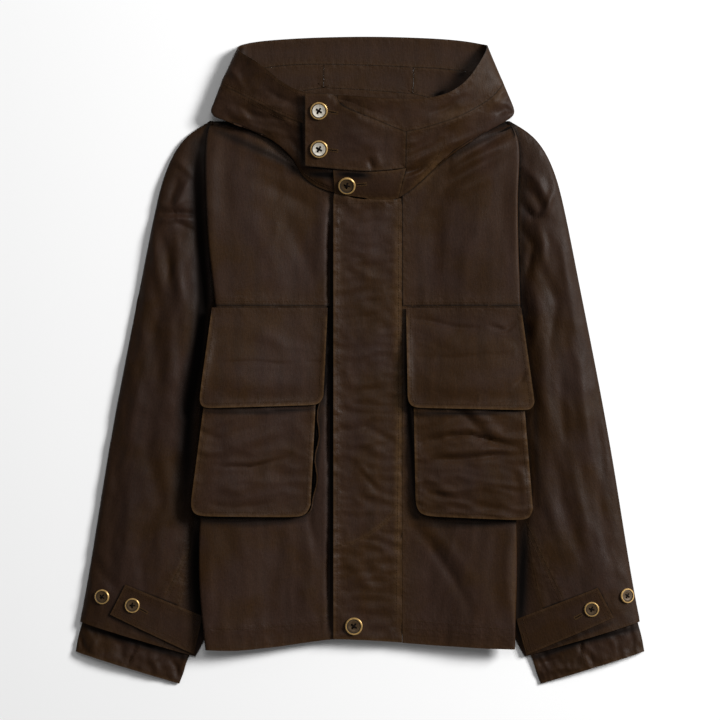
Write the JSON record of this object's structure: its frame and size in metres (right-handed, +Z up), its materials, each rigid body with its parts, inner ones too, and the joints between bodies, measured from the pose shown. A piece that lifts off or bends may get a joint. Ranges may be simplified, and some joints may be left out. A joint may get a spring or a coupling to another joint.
{
  "type": "waxed cotton jacket",
  "caption": "Hooded waxed cotton jacket laid flat, with a storm placket, throat tab, bellows pockets under flaps and buttoned cuff tabs",
  "frame": {"origin": "centre of the footprint, on the surface that the jacket lies on", "axes": "+X to the wearer's left, +Y from the hem to the hood, +Z up, the way the front faces"},
  "size_m": [0.745, 0.8459, 0.053],
  "materials": {
    "waxed_cotton": "dark brown waxed cotton, low sheen, rubbed paler at seams and edges",
    "brass_button": "aged brass rim round a brown centre",
    "silvered_button": "aged brass rims round a silvery grey centre"
  },
  "bodies": {
    "root": {"back_panel": "waxed_cotton", "front_right_upper": "waxed_cotton", "front_right_lower": "waxed_cotton", "front_left_upper": "waxed_cotton", "front_left_lower": "waxed_cotton", "placket": "waxed_cotton", "neck_stand": "waxed_cotton", "throat_tab": "waxed_cotton", "hood_side_right": "waxed_cotton", "hood_side_left": "waxed_cotton", "hood_back": "waxed_cotton", "hood_brim": "waxed_cotton", "sleeve_right_top": "waxed_cotton", "sleeve_right_under": "waxed_cotton", "sleeve_left_top": "waxed_cotton", "sleeve_left_under": "waxed_cotton", "cuff_right": "waxed_cotton", "cuff_left": "waxed_cotton", "cuff_tab_right": "waxed_cotton", "cuff_tab_left": "waxed_cotton", "pocket_right": "waxed_cotton", "pocket_left": "waxed_cotton", "gusset_right": "waxed_cotton", "gusset_left": "waxed_cotton", "flap_right": "waxed_cotton", "flap_left": "waxed_cotton", "button_neck": "brass_button", "button_hem": "brass_button", "button_tab_right": "brass_button", "button_sleeve_right": "brass_button", "button_tab_left": "brass_button", "button_sleeve_left": "brass_button", "button_throat_upper": "silvered_button", "button_throat_lower": "silvered_button"}
  },
  "joints": []
}
